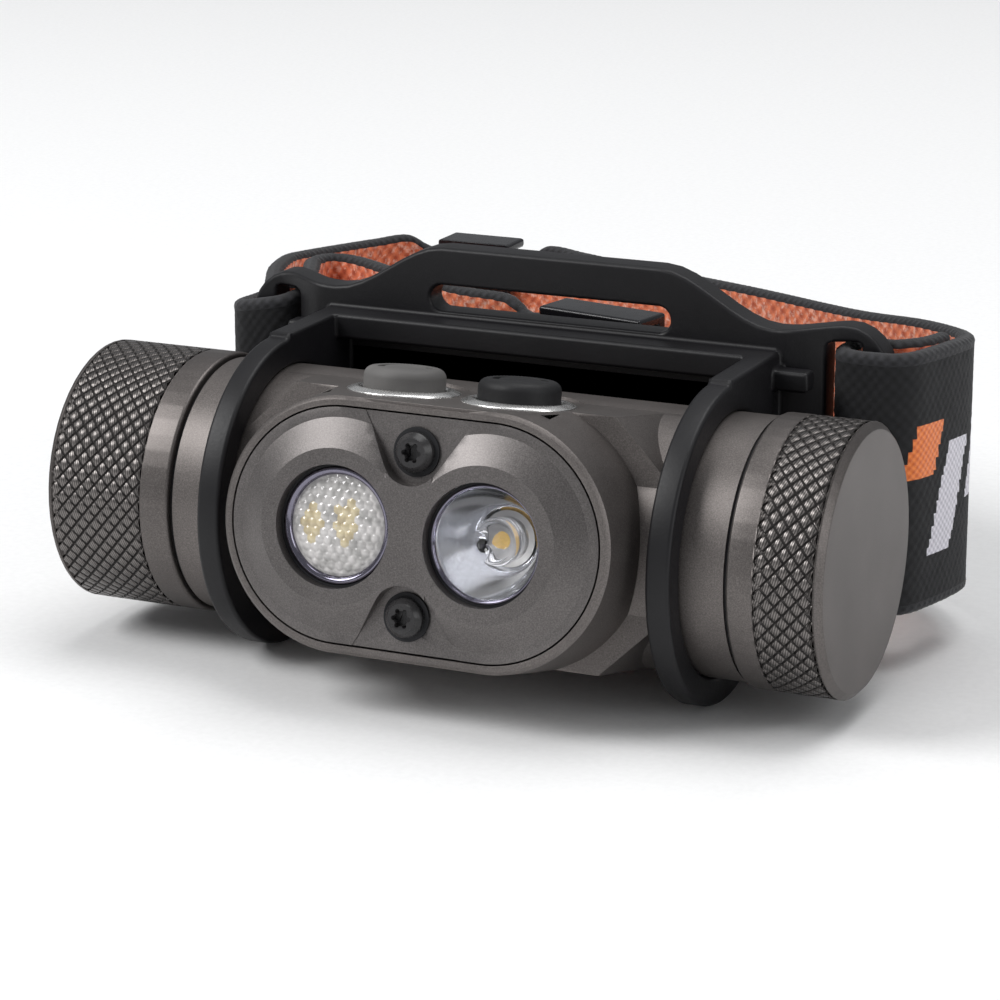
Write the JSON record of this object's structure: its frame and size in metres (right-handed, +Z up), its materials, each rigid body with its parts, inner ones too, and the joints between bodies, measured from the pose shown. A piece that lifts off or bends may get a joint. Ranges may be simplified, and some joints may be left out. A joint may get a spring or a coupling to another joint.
{
  "type": "headlamp",
  "caption": "Head torch with a flood and a spot lens in a cylindrical metal body, held by two rings of a polymer bracket on an elastic strap.",
  "frame": {"origin": "centre of the bracket's flat back face, level with the lamp's axis", "axes": "+X to the right as seen from the front, along the battery tube; +Y out of the bracket's back face, towards the forehead; +Z up"},
  "size_m": [0.0873, 0.0944, 0.0381],
  "materials": {
    "anodised_body": "bead-blasted warm grey anodised",
    "anodised_bezel": "bead-blasted warm grey anodised",
    "anodised_cap": "bead-blasted warm grey anodised with a diamond knurl",
    "black_rubber": "matt black",
    "black_steel": "blackened steel",
    "frosted_lens": "moulded optic with a honeycomb front",
    "clear_lens": "clear moulded optic",
    "bare_aluminium": "bare machined",
    "board_green": "printed board",
    "led_amber": "phosphor coated",
    "bright_steel": "plated",
    "polished_ring": "polished and bevelled",
    "grey_silicone": "matt silicone",
    "black_silicone": "matt silicone",
    "cell_wrap": "shrink film",
    "contact_brass": "plated spring",
    "black_polymer": "fine moulded texture",
    "strap_webbing": "knitted elastic, black outside and orange inside",
    "buckle_plastic": "smooth black"
  },
  "bodies": {
    "bracket_and_strap": {"bracket": "black_polymer", "strap": "strap_webbing", "strap_tail": "strap_webbing"},
    "lamp": {"housing": "anodised_body", "bezel_plate": "anodised_bezel", "bezel_gasket": "black_rubber", "bezel_screws": "black_steel", "screw_seals": "black_rubber", "flood_lens": "frosted_lens", "spot_lens": "clear_lens", "lens_seals": "black_rubber", "led_shelf": "bare_aluminium", "flood_led_board": "board_green", "flood_leds": "led_amber", "spot_led_board": "board_green", "spot_led": "led_amber", "driver_board": "board_green", "switch_board": "board_green", "tact_switches": "bright_steel", "left_button_ring": "polished_ring", "right_button_ring": "polished_ring", "battery_can": "bright_steel", "battery_wrap": "cell_wrap", "battery_terminal": "bright_steel", "left_o_ring": "black_rubber", "right_o_ring": "black_rubber"},
    "left_thread": {"left_contact_board": "board_green", "left_contact_spring": "contact_brass"},
    "left_cap_turn": {"left_cap": "anodised_cap"},
    "right_thread": {"right_contact_board": "board_green", "right_contact_spring": "contact_brass"},
    "right_cap_turn": {"right_cap": "anodised_cap"},
    "left_button_press": {"left_button": "grey_silicone"},
    "right_button_press": {"right_button": "black_silicone"},
    "rear_buckle_slide": {"rear_buckle": "buckle_plastic"},
    "inner_buckle_slide": {"inner_buckle": "buckle_plastic"}
  },
  "joints": [
    {"name": "lamp_tilt", "type": "hinge", "parent": "bracket_and_strap", "child": "lamp", "pos_m": [0, -0.016, 0], "axis": [1, 0, 0], "range_deg": [-50, 80]},
    {"name": "left_cap_travel", "type": "slide", "parent": "lamp", "child": "left_thread", "axis": [-1, 0, 0], "range_m": [0, 0.004]},
    {"name": "left_cap_unscrew", "type": "hinge", "parent": "left_thread", "child": "left_cap_turn", "pos_m": [0, -0.016, 0], "axis": [-1, 0, 0], "range_deg": [0, 1440]},
    {"name": "right_cap_travel", "type": "slide", "parent": "lamp", "child": "right_thread", "axis": [1, 0, 0], "range_m": [0, 0.004]},
    {"name": "right_cap_unscrew", "type": "hinge", "parent": "right_thread", "child": "right_cap_turn", "pos_m": [0, -0.016, 0], "axis": [1, 0, 0], "range_deg": [0, 1440]},
    {"name": "left_button_push", "type": "slide", "parent": "lamp", "child": "left_button_press", "axis": [0, -0.1564, -0.9877], "range_m": [0, 0.0006], "stiffness_N_per_m": 2000, "springref_m": -0.0002},
    {"name": "right_button_push", "type": "slide", "parent": "lamp", "child": "right_button_press", "axis": [0, -0.1564, -0.9877], "range_m": [0, 0.0006], "stiffness_N_per_m": 2000, "springref_m": -0.0002},
    {"name": "rear_buckle_travel", "type": "slide", "parent": "bracket_and_strap", "child": "rear_buckle_slide", "axis": [1, 0, 0], "range_m": [-0.002, 0.002]},
    {"name": "inner_buckle_travel", "type": "slide", "parent": "bracket_and_strap", "child": "inner_buckle_slide", "axis": [0.9806, -0.1961, 0], "range_m": [-0.002, 0.002]}
  ],
  "couplings": [
    {"joint": "left_cap_travel", "follows": "left_cap_unscrew", "m_per_rad": 0.00015915},
    {"joint": "right_cap_travel", "follows": "right_cap_unscrew", "m_per_rad": 0.00015915}
  ]
}
